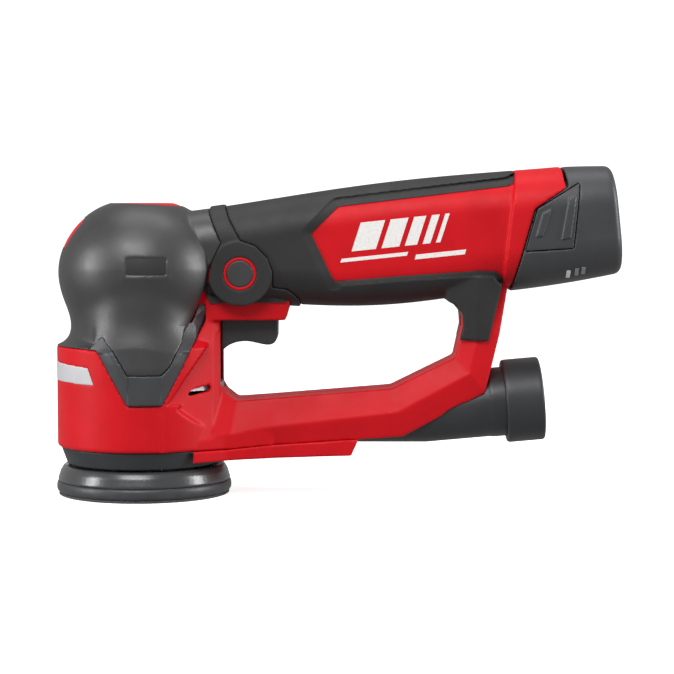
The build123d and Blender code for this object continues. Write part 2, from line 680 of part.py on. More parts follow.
# ---------------------------------------------------------------- controls and electronics
def trigger():
    outline = Polyline((36.7, 65.9), (36.7, 86.0), (62.5, 86.0), (62.3, 73.4))
    tip = [(62.3, 73.4), (59.3, 69.2), (55.0, 69.4), (49.2, 70.6), (43.9, 70.3), (39.8, 68.7), (36.7, 65.9)]
    finger = Spline(*tip)
    body = Pos(0, 9.0, 0) * extrude(Plane.XZ * make_face(outline + finger), amount=18.0)
    hollow = block(38.6, 60.3, -7.2, 7.2, 76.0, 84.0)
    plunger = disc(2.0, 85.9, 97.0, x=58.0)
    return body - hollow + plunger


def trigger_spring():
    helix = Helix(pitch=2.0, height=4.8, radius=3.4)
    wire = Plane(origin=helix @ 0, z_dir=helix % 0) * Circle(0.4)
    coil = sweep(wire, path=helix, is_frenet=True)
    return Pos(58.0, 0, 86.45) * coil


def switch_body():
    body = block(53.0, 77.0, -7.5, 7.5, 93.6, 106.0)
    return body - disc(2.1, 90, 104.0, x=58.0)


def lock_shuttle():
    x, z = SHUTTLE_AT
    pin = cross_pin(SHUTTLE_RADIUS, SHUTTLE_AT, -23.6, 23.6 - SHUTTLE_TRAVEL)
    return pin - block(x - 7, x + 7, -5, 5, z - 7, z - 2.6)


def speed_dial():
    wheel = cross_pin(DIAL_RADIUS, DIAL_AT, -3.0, 3.0)
    for k in range(20):
        a = math.radians(18 * k)
        at = (DIAL_AT[0] + DIAL_RADIUS * math.cos(a), DIAL_AT[1] + DIAL_RADIUS * math.sin(a))
        wheel = wheel - cross_pin(0.5, at, -4, 4)
    return wheel + cross_pin(1.5, DIAL_AT, 2.9, 6.0)


def dial_potentiometer():
    x, z = DIAL_AT
    return block(x - 5, x + 5, 4.0, 9.8, z - 3.5, z + 5) - cross_pin(1.5 + FIT, DIAL_AT, 3, 8)


def controller_tray():
    tray = along_handle(30.0, 14.0, 2.0, 64.0, 93.0, drop=-3.0)
    return tray - along_handle(27.0, 14.0, 1.0, 65.5, 91.5, drop=-4.6)


def controller_board():
    return along_handle(26.6, 1.6, 0.5, 65.7, 91.3, drop=-3.0)


def board_parts():
    chips = [along_handle(6.0, 2.0, 0.4, x, x + 5.0, drop=-5.0 + 0.15) for x in (67.0, 74.0, 81.0)]
    can = along_handle(9.0, 5.0, 2.2, 86.5, 90.8, drop=-6.4)
    return Compound(children=[*chips, can])


def terminal_block():
    body = along_handle(24.0, 16.0, 2.0, 94.5, 98.0)
    return body


def wire_route(points, radius, bend):
    path = FilletPolyline(*points, radius=bend)
    section = Plane(origin=path @ 0, z_dir=path % 0) * Circle(radius)
    return sweep(section, path=path)


def motor_leads():
    """Three phase leads from the stator to the controller."""
    leads = []
    for y in (-4.0, 0.0, 4.0):
        points = [(24.0, y, 109.5), (33.0, y, 111.5), (44.0, y, 114.5), (54.0, y, 115.0), (62.6, y, 116.3)]
        leads.append(wire_route(points, 1.1, 12.0))
    return Compound(children=leads)


# ---------------------------------------------------------------- battery pack
PACK = [
    (150.0, 119.4, 46.6, 54.8, 18.4),
    (194.0, 124.0, 48.0, 53.0, 19.0),
    (216.9, 126.4, 46.2, 49.0, 17.5),
]
PACK_FRONT = 103.0


def pack_form(inset=0.0):
    form = handle_solid(inset, PACK)
    return fillet(form.faces().sort_by(Axis.X)[-1].edges(), 3.6)


def latch_region(gap):
    return side_prism(
        [(179.2 + gap, 131.4 - gap), (173.9 + gap, 111.9 + gap), (196.0 - gap, 113.2 + gap),
         (198.8 - gap, 143.2 - 1.5 * gap)], -30, 30,
    )


def latch(side):
    """A sprung thumb tab in the cap's side, free on three edges and hinged at its rear."""
    tab = (pack_form() - pack_form(1.8)) & latch_region(0.35)
    tab = near(tab) if side < 0 else far(tab)
    front = side_prism([(181.8, 129.0), (178.9, 118.6), (181.6, 118.9), (185.2, 130.6)], -30, 30)
    rear = side_prism([(193.6, 136.0), (190.4, 117.4), (194.2, 118.0), (196.6, 136.8)], -30, 30)
    rib = (pack_form(-0.7) - pack_form(0.5)) & (front + rear)
    return tab + (near(rib) if side < 0 else far(rib))


def battery_cap():
    body = pack_form() & behind_pack_line(0.35)
    body = body - pack_form(2.0) & block(100, 260, -40, 40, 80, 170)
    body = body + (pack_form() & block(212.5, 225, -40, 40, 80, 170))
    body = body - latch_region(0.0)
    return body - along_handle(STEM[0], STEM[1], STEM[2], PACK_FRONT, 201)


def battery_stem():
    body = along_handle(STEM[0], STEM[1], STEM[2], PACK_FRONT, 200.0)
    return body - along_handle(STEM[0] - 1.4, STEM[1] - 1.4, STEM[2] - 0.7, PACK_FRONT + 1.5, 198.5)


def battery_cells():
    a = math.radians(HANDLE_TILT)
    plane = tilted(PACK_FRONT + 3.0, 114.9 + 3.0 * math.tan(a) + 3.0 * math.tan(a), HANDLE_TILT)
    cells = []
    for u, v in ((-CELL_RADIUS, -7.9), (CELL_RADIUS, -7.9), (0.0, 7.9)):
        body = plane * Pos(u, v, CELL_LENGTH / 2) * Cylinder(CELL_RADIUS, CELL_LENGTH)
        tip = plane * Pos(u, v, CELL_LENGTH + 0.4) * Cylinder(3.0, 0.8)
        cells.append(body + tip)
    return Compound(children=cells)


def battery_contacts():
    blade = along_handle(2.0, 9.0, 0.5, PACK_FRONT - 2.0, PACK_FRONT)
    return Compound(children=[Pos(0, y, 0) * blade for y in (-8.0, 0.0, 8.0)])


def gauge_windows():
    spots = [(193.2, 100.0), (196.9, 101.0), (199.9, 101.6)]
    bars = [block(x, x + 1.9, -30, 0, z, z + 3.4) for x, z in spots]
    skin = pack_form(-0.15) - pack_form(0.9)
    return Compound(children=[(skin & bar).solids()[0] for bar in bars])


def hose_adapter():
    body = along_port(ADAPTER_RADIUS, 6.6, 6.6 + ADAPTER_LENGTH)
    body = fillet(body.edges().filter_by(GeomType.CIRCLE), 1.2)
    body = body - along_port(HOSE_RADIUS, 6.0, 13.2)
    body = body - along_port(HOSE_RADIUS - 2.0, 13.0, 15.0)
    return body - along_port(HOSE_RADIUS, 14.4, 30.0)


# ---------------------------------------------------------------- head trim
def badge(side):
    plate = block(-4.0, 14.0, -45, 45, 101.5, 109.5)
    layer = head_solid(-0.25) - head_solid(0.9)
    part = layer & plate
    return near(part) if side < 0 else far(part)


def nose_band():
    """White band round the front of the base."""
    layer = head_solid(-0.15) - head_solid(0.4)
    region = side_prism([(-50, 53.6), (-18.7, 52.5), (-21.6, 60.4), (-50, 62.6)], -60, 60)
    return layer & region


def main():
    shell = casing()
    boot = head_boot()
    grip = grip_solid()
    frame = frame_solid()
    band = nose_band()
    badges = {side: badge(side) for side in (-1, 1)}
    for item in badges.values():
        boot = boot - item
    shell = shell - band
    cap = battery_cap()
    gauge = gauge_windows()
    for window in gauge.solids():
        cap = cap - window

    write("shell_left", near(shell))
    write("shell_right", far(shell))
    write("head_boot", boot)
    write("crown_panel", crown_panel())
    write("nose_panel", nose_panel())
    write("frame_left", near(frame))
    write("frame_right", far(frame))
    leg = post_grip()
    write("grip_left", Compound(children=near(grip).solids() + near(leg).solids()))
    write("grip_right", Compound(children=far(grip).solids() + far(leg).solids()))
    collar = collar_solid()
    write("collar_left", near(collar))
    write("collar_right", far(collar))
    write("badge_left", badges[-1])
    write("badge_right", badges[1])
    write("nose_band", band)
    write("lock_ring_left", lock_ring(-1))
    write("lock_ring_right", lock_ring(1))
    write("shell_screws", screws())
    write("duct_cover", duct_cover())
    write("dust_duct", dust_duct())
    write("hose_adapter", hose_adapter())
    write("skirt", skirt())
    write("fan_shroud", fan_shroud())
    write("flex_legs", legs())
    write("bearing_plate", bearing_plate())
    write("motor_can", motor_can())
    write("end_bell", end_bell())
    write("lower_bearing", bearing(*LOWER_BEARING))
    write("upper_bearing", bearing(*UPPER_BEARING))
    write("stator_core", stator_core())
    write("stator_coils", stator_coils())
    write("motor_shaft", motor_shaft())
    write("rotor_core", rotor_core())
    write("dust_fan", dust_fan())
    write("counterweight", counterweight())
    write("crank_screw", crank_screw())
    write("pad_bearing", bearing(*PAD_BEARING, y=ORBIT_RADIUS))
    write("pad_hub", pad_hub())
    write("pad_plate", pad_plate())
    write("backing_pad", backing_pad())
    write("hook_face", hook_face())
    write("rim_studs", rim_studs())
    write("pad_screws", pad_screws())
    write("trigger", trigger())
    write("trigger_spring", trigger_spring())
    write("switch_body", switch_body())
    write("lock_shuttle", lock_shuttle())
    write("speed_dial", speed_dial())
    write("dial_potentiometer", dial_potentiometer())
    write("controller_tray", controller_tray())
    write("controller_board", controller_board())
    write("board_parts", board_parts())
    write("terminal_block", terminal_block())
    write("motor_leads", motor_leads())
    write("battery_cap", cap)
    write("battery_stem", battery_stem())
    write("battery_cells", battery_cells())
    write("battery_contacts", battery_contacts())
    write("gauge_windows", gauge)
    write("latch_left", latch(-1))
    write("latch_right", latch(1))


main()
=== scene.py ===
import json
import math

import bmesh
import bpy
import numpy as np
from mathutils import Matrix, Vector
from mathutils.bvhtree import BVHTree

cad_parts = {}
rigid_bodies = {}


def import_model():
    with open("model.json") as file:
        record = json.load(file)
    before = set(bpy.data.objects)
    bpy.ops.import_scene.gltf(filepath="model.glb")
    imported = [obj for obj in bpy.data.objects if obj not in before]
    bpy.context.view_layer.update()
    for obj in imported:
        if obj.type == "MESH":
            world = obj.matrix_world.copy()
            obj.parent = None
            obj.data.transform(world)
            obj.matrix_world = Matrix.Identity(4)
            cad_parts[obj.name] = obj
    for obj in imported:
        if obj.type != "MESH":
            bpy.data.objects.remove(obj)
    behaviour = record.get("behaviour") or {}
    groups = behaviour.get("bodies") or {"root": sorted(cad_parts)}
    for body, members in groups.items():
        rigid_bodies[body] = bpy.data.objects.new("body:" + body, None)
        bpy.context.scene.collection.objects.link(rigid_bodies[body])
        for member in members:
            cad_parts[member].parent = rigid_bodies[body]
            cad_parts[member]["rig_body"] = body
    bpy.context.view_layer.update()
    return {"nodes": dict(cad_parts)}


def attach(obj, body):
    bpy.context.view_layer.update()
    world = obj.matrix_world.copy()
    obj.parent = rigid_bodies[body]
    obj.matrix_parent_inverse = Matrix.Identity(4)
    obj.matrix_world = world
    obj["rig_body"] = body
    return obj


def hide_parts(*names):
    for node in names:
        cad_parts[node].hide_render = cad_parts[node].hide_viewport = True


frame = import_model()

# ---- Red casing halves
# Two injection-moulded nylon shells, split on the centre plane and screwed together from the right.
# The mould gives every edge a small radius and the outside a fine spark-eroded grain.
MM = 0.001
RED = (0.62, 0.0045, 0.011)
RED_SHADE = (0.53, 0.003, 0.008)
SHELL_GRAIN = 0.30
WELD_GAP = 2e-6


def blank_finish(name):
    """A new finish: its nodes, its links, its shader and the place on the piece that marks follow."""
    finish = bpy.data.materials.new(name)
    finish.use_nodes = True
    nodes = finish.node_tree.nodes
    place = nodes.new("ShaderNodeTexCoord").outputs["Object"]
    return finish, nodes, finish.node_tree.links, nodes["Principled BSDF"], place


def marks(nodes, links, place, size, low, high, detail=4.0, stretch=None, centre=0.5, width=0.5):
    """A mottle whose patches are about size millimetres across, as numbers from low to high."""
    if stretch:
        bend = nodes.new("ShaderNodeMapping")
        bend.inputs["Scale"].default_value = stretch
        links.new(place, bend.inputs["Vector"])
        place = bend.outputs["Vector"]
    noise = nodes.new("ShaderNodeTexNoise")
    noise.inputs["Scale"].default_value = 1.0 / (size * MM)
    noise.inputs["Detail"].default_value = detail
    links.new(place, noise.inputs["Vector"])
    span = nodes.new("ShaderNodeMapRange")
    span.inputs[1].default_value = centre - width / 2
    span.inputs[2].default_value = centre + width / 2
    span.inputs[3].default_value = low
    span.inputs[4].default_value = high
    links.new(noise.outputs[0], span.inputs[0])
    return span.outputs[0]


def blend_colours(nodes, links, share, first, second):
    """Two colours, or a colour and an earlier blend, mixed by share."""
    mix = nodes.new("ShaderNodeMix")
    mix.data_type = "RGBA"
    links.new(share, mix.inputs[0])
    for socket, colour in ((mix.inputs[6], first), (mix.inputs[7], second)):
        if isinstance(colour, tuple):
            socket.default_value = (*colour, 1.0)
        else:
            links.new(colour, socket)
    return mix.outputs[2]


def emboss(nodes, links, shader, *layers):
    """Lays height marks, each with its depth in millimetres, over one another on the shader."""
    under = None
    for height, depth in layers:
        bump = nodes.new("ShaderNodeBump")
        bump.inputs["Strength"].default_value = 1.0
        bump.inputs["Distance"].default_value = depth * MM
        links.new(height, bump.inputs["Height"])
        if under:
            links.new(under, bump.inputs["Normal"])
        under = bump.outputs["Normal"]
    links.new(under, shader.inputs["Normal"])


def edge_highlight_and_wear(nodes, links, strength):
    """How far an outside edge is painted paler: a painted highlight along the edge, with some wear from
    handling.
    """
    point = nodes.new("ShaderNodeNewGeometry").outputs["Pointiness"]
    span = nodes.new("ShaderNodeMapRange")
    span.inputs[1].default_value = 0.52
    span.inputs[2].default_value = 0.60
    span.inputs[3].default_value = 0.0
    span.inputs[4].default_value = strength
    links.new(point, span.inputs[0])
    return span.outputs[0]


def moulded_finish(name, colour, shade, rough, grain, depth, edge_highlight_strength=0.15, edge_highlight_colour=None, coat=0.0):
    """Moulded plastic or rubber: a grained skin, mottled colour, flow marks, handling gloss, and outside
    edges painted paler as a painted highlight with some wear.
    """
    finish, nodes, links, shader, place = blank_finish(name)
    mottle = marks(nodes, links, place, 14.0, 0.0, 1.0, 5.0)
    skin = blend_colours(nodes, links, mottle, colour, shade)
    # Outside edges are painted paler in this colour: a painted highlight, with some wear.
    edge_highlight_colour = edge_highlight_colour or tuple(min(1.0, c * 1.5 + 0.02) for c in colour)
    skin = blend_colours(nodes, links, edge_highlight_and_wear(nodes, links, edge_highlight_strength), skin, edge_highlight_colour)
    links.new(skin, shader.inputs["Base Color"])
    gloss = marks(nodes, links, place, 9.0, rough - 0.05, rough + 0.06, 6.0)
    links.new(gloss, shader.inputs["Roughness"])
    fine = marks(nodes, links, place, grain, 0.0, 1.0, 2.0)
    flow = marks(nodes, links, place, 26.0, 0.0, 1.0, 2.0)
    emboss(nodes, links, shader, (fine, depth), (flow, 0.10))
    shader.inputs["Coat Weight"].default_value = coat
    shader.inputs["Coat Roughness"].default_value = 0.25
    return finish


def solid_from(node, name):
    """A loose copy of a CAD node's shape, to be worked into a finished piece."""
    piece = bpy.data.objects.new(name, frame["nodes"][node].data.copy())
    bpy.context.scene.collection.objects.link(piece)
    piece.data.materials.clear()
    return piece


def settle(piece):
    """Makes the piece's modifiers part of its mesh."""
    graph = bpy.context.evaluated_depsgraph_get()
    mesh = bpy.data.meshes.new_from_object(piece.evaluated_get(graph))
    piece.modifiers.clear()
    piece.data = mesh
    mesh.name = piece.name
    return piece


def soft_edged(node, name, radius=0.6, passes=5):
    """The moulding or casting with the small radius that its tool gives every edge."""
    piece = solid_from(node, name)
    weld = piece.modifiers.new("weld", "WELD")
    weld.merge_threshold = WELD_GAP
    skin = piece.modifiers.new("skin", "REMESH")
    skin.mode = "VOXEL"
    skin.voxel_size = radius * MM
    skin.use_smooth_shade = True
    smooth = piece.modifiers.new("smooth", "SMOOTH")
    smooth.factor = 0.5
    smooth.iterations = passes
    return settle(piece)


def fit(piece, finish, slot, *nodes):
    """Gives the piece its finish and puts it where its CAD nodes are."""
    piece.data.materials.clear()
    piece.data.materials.append(finish)
    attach(piece, frame["nodes"][nodes[0]]["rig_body"])
    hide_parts(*nodes)
    return piece


def set_shine(finish, level):
    """How strongly the finish mirrors what stands round it."""
    finish.node_tree.nodes["Principled BSDF"].inputs["Specular IOR Level"].default_value = level


# The pale red given here is a painted highlight, with some wear, on the casing's outside edges.
red_nylon = moulded_finish("red_nylon", RED, RED_SHADE, 0.46, SHELL_GRAIN, 0.010, 0.22,
                           (0.80, 0.03, 0.04))
set_shine(red_nylon, 0.20)
POST_ALONG, POST_ACROSS, POST_UP, POST_REACH = 0.588, 0.799, 0.125, 42.44
POST_NOSE, NOSE_TAPER = 33.4, 1.25
POST_FOOT, POST_HEAD, POST_BACK = 44.0, 80, 36.6
FACE_LINE_X, FACE_LINE_Z, FACE_LINE_SLANT = 9.9, 41.5, 0.4356
FACE_WIDEST, FACE_LINE_LEAN = 44.0, 0.364


def corners_of(piece):
    """The piece's points, in millimetres."""
    points = np.empty(len(piece.data.vertices) * 3, np.float32)
    piece.data.vertices.foreach_get("co", points)
    return points.reshape(-1, 3).astype(float) / MM


def reshape(piece, points):
    """Puts the piece's points where they are given, in millimetres."""
    piece.data.vertices.foreach_set("co", (points * MM).astype(np.float32).ravel())
    piece.data.update()


def post_face(x, z):
    """Half width of the front post's leaning face, and of its narrow edge at the hand opening."""
    leaning = (POST_REACH - POST_UP * z - POST_ALONG * np.minimum(x, POST_NOSE)) / POST_ACROSS
    return leaning - NOSE_TAPER * np.maximum(x - POST_NOSE, 0)


def lean_post(points):
    """Runs the post's leaning face up past the base's rim."""
    x, y, z = points.T
    face = post_face(x, z)
    thick_from = (FACE_LINE_X + (z - FACE_LINE_Z) * FACE_LINE_SLANT
                  + (FACE_WIDEST - face) * FACE_LINE_LEAN)
    behind = (x > thick_from) & (x < POST_BACK)
    cut = behind & (z > POST_FOOT) & (z < POST_HEAD) & (np.abs(y) > face)
    points[:, 1] = np.where(cut, np.sign(y) * face, y)
    return points


casing = {}
for side in ("left", "right"):
    casing[side] = soft_edged(f"shell_{side}", f"casing_{side}")
    reshape(casing[side], lean_post(corners_of(casing[side])))
    fit(casing[side], red_nylon, "red_shell", f"shell_{side}")


def walls_of(*pieces):
    """The surfaces of pieces, for laying other pieces on them."""
    shape = bmesh.new()
    for piece in pieces:
        shape.from_mesh(piece.data)
    tree = BVHTree.FromBMesh(shape)
    shape.free()
    return tree


casing_walls = walls_of(casing["left"], casing["right"])

# ---- Marks printed on the side panels
# Plain slanted bars in white ink, pad-printed on the recessed panel of each half.
# The ink lies a tenth of a millimetre proud and rides with the casing.
INK_HEIGHT = 0.10
PRINT_TILT = math.tan(math.radians(6.0))
BARS = [(96.0, 107.0), (109.5, 117.5), (120.0, 125.5), (128.0, 131.5), (134.0, 136.0)]
BAR_START, BAR_FOOT, BAR_TOP, BAR_SLANT = 96, 112.0, 125.0, 4.2
RULES = ((91.0, 121.0, 107.0, 1.7), (124.5, 147.0, 108.4, 2.2))
RULE_SLANT = 0.6
OUTSIDE = 0.07
PLATE_UNDERSIDE = -0.25


def laid_plate(name, corners, walls, side, height, finish, steps=(26, 8)):
    """A thin plate over the four corners (x, z in mm), pressed onto the surface on that side."""
    sign = -1 if side == "left" else 1
    across, up = steps
    shape = bmesh.new()
    layers = []
    (x0, z0), (x1, z1), (x2, z2), (x3, z3) = corners
    for lift in (height, PLATE_UNDERSIDE):
        rows = []
        for j in range(up + 1):
            v = j / up
            row = []
            for i in range(across + 1):
                u = i / across
                x = (1 - v) * ((1 - u) * x0 + u * x1) + v * ((1 - u) * x3 + u * x2)
                z = (1 - v) * ((1 - u) * z0 + u * z1) + v * ((1 - u) * z3 + u * z2)
                start = Vector((x * MM, sign * OUTSIDE, z * MM))
                hit = walls.ray_cast(start, Vector((0, -sign, 0)))[0]
                y = hit.y if hit else sign * 0.02
                row.append(shape.verts.new((x * MM, y + sign * lift * MM, z * MM)))
            rows.append(row)
        layers.append(rows)
    top, under = layers
    for rows in layers:
        for j in range(up):
            for i in range(across):
                shape.faces.new((rows[j][i], rows[j][i + 1], rows[j + 1][i + 1], rows[j + 1][i]))
    rim = [(0, i) for i in range(across)] + [(j, across) for j in range(up)]
    rim += [(up, i) for i in range(across, 0, -1)] + [(j, 0) for j in range(up, 0, -1)]
    for k, (j, i) in enumerate(rim):
        b, a = rim[(k + 1) % len(rim)]
        shape.faces.new((top[j][i], top[b][a], under[b][a], under[j][i]))
    bmesh.ops.recalc_face_normals(shape, faces=shape.faces)
    mesh = bpy.data.meshes.new(name)
    shape.to_mesh(mesh)
    shape.free()
    piece = bpy.data.objects.new(name, mesh)
    bpy.context.scene.collection.objects.link(piece)
    mesh.materials.append(finish)
    mesh.polygons.foreach_set("use_smooth", [False] * len(mesh.polygons))
    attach(piece, "housing")
    return piece


def printed_ink(name, colour):
    """Screen ink: a thin satin film with pinholes and slightly uneven cover."""
    finish, nodes, links, shader, place = blank_finish(name)
    cover = marks(nodes, links, place, 1.1, 0.0, 1.0, 6.0, centre=0.42, width=0.3)
    worn = tuple(c * 0.86 for c in colour)
    links.new(blend_colours(nodes, links, cover, worn, colour), shader.inputs["Base Color"])
    links.new(marks(nodes, links, place, 0.7, 0.36, 0.5), shader.inputs["Roughness"])
    emboss(nodes, links, shader, (marks(nodes, links, place, 0.25, 0.0, 1.0), 0.008))
    return finish


white_ink = printed_ink("white_ink", (0.86, 0.84, 0.82))
for side in ("left", "right"):
    for number, (x0, x1) in enumerate(BARS, 1):
        low = BAR_FOOT + (x0 - BAR_START) * PRINT_TILT
        high = BAR_TOP + (x0 - BAR_START) * PRINT_TILT
        rise = (x1 - x0) * PRINT_TILT
        corners = [(x0, low), (x1, low + rise), (x1 + BAR_SLANT, high + rise), (x0 + BAR_SLANT, high)]
        laid_plate(f"print_bar_{side}_{number}", corners, casing_walls, side, INK_HEIGHT, white_ink)
    for number, (x0, x1, z0, height) in enumerate(RULES, 1):
        rise = (x1 - x0) * PRINT_TILT
        corners = [(x0, z0), (x1, z0 + rise), (x1 + RULE_SLANT, z0 + rise + height),
                   (x0 + RULE_SLANT, z0 + height)]
        laid_plate(f"print_line_{side}_{number}", corners, casing_walls, side, INK_HEIGHT, white_ink,
                   (26, 2))

# ---- Pale band and nose
# A band of light grey plastic let into the nose of the base, flush with the red.
# It is a separate moulding, snapped in before the halves are joined.
pale_plastic = moulded_finish("pale_plastic", (0.56, 0.56, 0.58), (0.47, 0.47, 0.49), 0.42, 0.3, 0.008)
fit(soft_edged("nose_band", "base_band", 0.35, 3), pale_plastic, "pale_band", "nose_band")

# ---- Rubber boot, its red panels and the badge plates
# A thermoplastic rubber skin moulded over the motor's dome, with a tongue down each side.
# Two red panels and a blank plate on each side are let into it.
RUBBER = (0.026, 0.026, 0.027)
RUBBER_SHADE = (0.019, 0.019, 0.020)
# The edge colour is a painted highlight, with some wear, on the rubber's outside edges.
RUBBER_EDGE_HIGHLIGHT = (0.07, 0.07, 0.075)
TONGUE = 41.2
TONGUE_LOW, TONGUE_HIGH = 62.0, 81.5
TONGUE_FRONT = -21.5
CHEEK_LOW, CHEEK_TALL = 58.0, 42.0
CHEEK_WIDE, CHEEK_DEEP = 31.6, 38.9
WIDE_DRAFT, DEEP_DRAFT = 0.4, 1.4
DOME_RADIUS, DOME_FOOT, DOME_RUN, DOME_SPREAD = 33.4, 78.0, 4, 0.2
EASE_LOW, EASE_HIGH, EASE_SIDE, EASE_FRONT = 72, 104, 12, -30
FADE_LOW, FADE_HIGH, FADE_SIDE, FADE_FRONT = 6, 4, 6, 5
BADGE_X, BADGE_Z, BADGE_ROOM_X, BADGE_ROOM_Z = 5, 105.5, 10.5, 6
EASE_LEVELS, EASE_PASSES = 10, 160


def cheek_radius(x, y, z):
    """Radius of the head's oval cheeks in the direction of each point, at its height."""
    rise = np.clip((z - CHEEK_LOW) / CHEEK_TALL, 0, 1)
    turn = np.arctan2(np.abs(y), x)
    wide, deep = CHEEK_WIDE - WIDE_DRAFT * rise, CHEEK_DEEP - DEEP_DRAFT * rise
    return 1.0 / np.hypot(np.cos(turn) / wide, np.sin(turn) / deep)


def ease_tongue(points):
    """Lets the tongue's upper end run out into the dome without a step."""
    x, y, z = points.T
    radius = np.hypot(x, y)
    dome = DOME_RADIUS + np.clip(z - DOME_FOOT, 0, DOME_RUN) * DOME_SPREAD
    cheek = np.maximum(cheek_radius(x, y, z), dome)
    run = np.clip((z - TONGUE_LOW) / (TONGUE_HIGH - TONGUE_LOW), 0, 1)
    limit = cheek + (TONGUE - cheek) * (0.5 + 0.5 * np.cos(run * math.pi))
    over = (z > TONGUE_LOW) & (z < TONGUE_HIGH) & (x > TONGUE_FRONT) & (radius > limit)
    shrink = np.where(over, limit / radius, 1.0)
    points[:, 0] *= shrink
    points[:, 1] *= shrink
    return points


rubber = moulded_finish("black_rubber", RUBBER, RUBBER_SHADE, 0.43, 0.42, 0.014, 0.10, RUBBER_EDGE_HIGHLIGHT)
set_shine(rubber, 0.8)
boot = soft_edged("head_boot", "dome_boot")
reshape(boot, ease_tongue(corners_of(boot)))
cheeks = boot.vertex_groups.new(name="cheeks")
x, y, z = corners_of(boot).T
share = np.clip((z - EASE_LOW) / FADE_LOW, 0, 1) * np.clip((EASE_HIGH - z) / FADE_HIGH, 0, 1)
share *= (np.clip((np.abs(y) - EASE_SIDE) / FADE_SIDE, 0, 1)
          * np.clip((x - EASE_FRONT) / FADE_FRONT, 0, 1))
in_badge = (np.abs(x - BADGE_X) < BADGE_ROOM_X) & (np.abs(z - BADGE_Z) < BADGE_ROOM_Z)
for level in range(1, EASE_LEVELS + 1):
    chosen = ~in_badge & (np.round(share * EASE_LEVELS) == level)
    cheeks.add(np.nonzero(chosen)[0].tolist(), level / EASE_LEVELS, "REPLACE")
ease = boot.modifiers.new("ease", "SMOOTH")
ease.factor = 0.6
ease.iterations = EASE_PASSES
ease.vertex_group = "cheeks"
settle(boot)
fit(boot, rubber, "grip_rubber", "head_boot")
for panel in ("crown", "nose"):
    insert = soft_edged(f"{panel}_panel", f"{panel}_insert", 0.4, 3)
    fit(insert, red_nylon, "red_shell", f"{panel}_panel")
badge_plastic = moulded_finish("badge_plastic", (0.010, 0.010, 0.011), (0.014, 0.014, 0.015),
                               0.6, 0.25, 0.01)
BADGE_SINK = 0.7
for side in ("left", "right"):
    plate = soft_edged(f"badge_{side}", f"badge_plate_{side}", 0.25, 3)
    plate.data.transform(Matrix.Translation((0, (1 if side == "left" else -1) * BADGE_SINK * MM, 0)))
    fit(plate, badge_plastic, "badge_plate", f"badge_{side}")

# ---- Rubber frame round the boot
# The edge of the over-moulding: a strip that slopes down to the red all round the tongue.
# It is one shot of rubber with the boot, drawn thinner towards its outer edge.
BASE_RADIUS = 39.6
TRIM_EDGE = [(-60, 69.0), (-17.5, 68.3), (-3.5, 43.6), (11.8, 43.6), (20.9, 60.9), (25.7, 72.0),
             (33.4, 87.6)]
TRIM_WIDTH = 4.6
TRIM_RISE = 1.5
TRIM_SINK, TRIM_PROUD, TRIM_LIP, TRIM_TOP = 0.3, 1.3, 0.15, 67
TONGUE_LEFT, TONGUE_RIGHT, TONGUE_END = -3.2, 11.6, 57.4
UNDER_STEEPER, UNDER_RISE = 6, 0.75
STRIP_FRONT, STRIP_FOOT, STRIP_RUN, STRIP_PROUD = 12.5, 68.0, 12.0, 1.0


def far_from_line(x, z, line):
    """How far each point (x, z) lies from a line through the given corners, in millimetres."""
    best = np.full(len(x), 1e9)
    for (ax, az), (bx, bz) in zip(line, line[1:]):
        dx, dz = bx - ax, bz - az
        t = np.clip(((x - ax) * dx + (z - az) * dz) / (dx * dx + dz * dz), 0, 1)
        best = np.minimum(best, np.hypot(x - ax - t * dx, z - az - t * dz))
    return best


trim_rubber = moulded_finish("trim_rubber", (0.046, 0.048, 0.051), (0.038, 0.040, 0.043),
                             0.42, 0.4, 0.012)
for side in ("left", "right"):
    trim = soft_edged(f"frame_{side}", f"trim_{side}", 0.5, 4)
    points = corners_of(trim)
    x, y, z = points.T
    radius = np.hypot(x, y)
    slope = np.clip(far_from_line(x, z, TRIM_EDGE) / TRIM_WIDTH, 0, 1)
    under_tongue = (x > TONGUE_LEFT) & (x < TONGUE_RIGHT) & (z < TONGUE_END)
    slope = np.where(under_tongue, np.clip(slope * UNDER_STEEPER, 0, UNDER_RISE), slope)
    outer = (radius > BASE_RADIUS - TRIM_SINK) & (z < TRIM_TOP)
    target = BASE_RADIUS + TRIM_LIP + TRIM_RISE * slope
    part_way = (radius - BASE_RADIUS + TRIM_SINK) / TRIM_PROUD
    sloped = BASE_RADIUS - TRIM_SINK + part_way * (target - BASE_RADIUS + TRIM_SINK)
    scale = np.where(outer, sloped / radius, 1.0)
    points[:, 0] *= scale
    points[:, 1] *= scale
    points = ease_tongue(points)
    x, y, z = points.T
    upper = np.clip((z - STRIP_FOOT) / STRIP_RUN, 0, 1)
    on_face = np.minimum(np.abs(y), post_face(x, z) + STRIP_PROUD)
    limit = (1 - upper) * np.abs(y) + upper * on_face
    points[:, 1] = np.where(x > STRIP_FRONT, np.sign(y) * limit, y)
    reshape(trim, points)
    fit(trim, trim_rubber, "grip_rubber", f"frame_{side}")

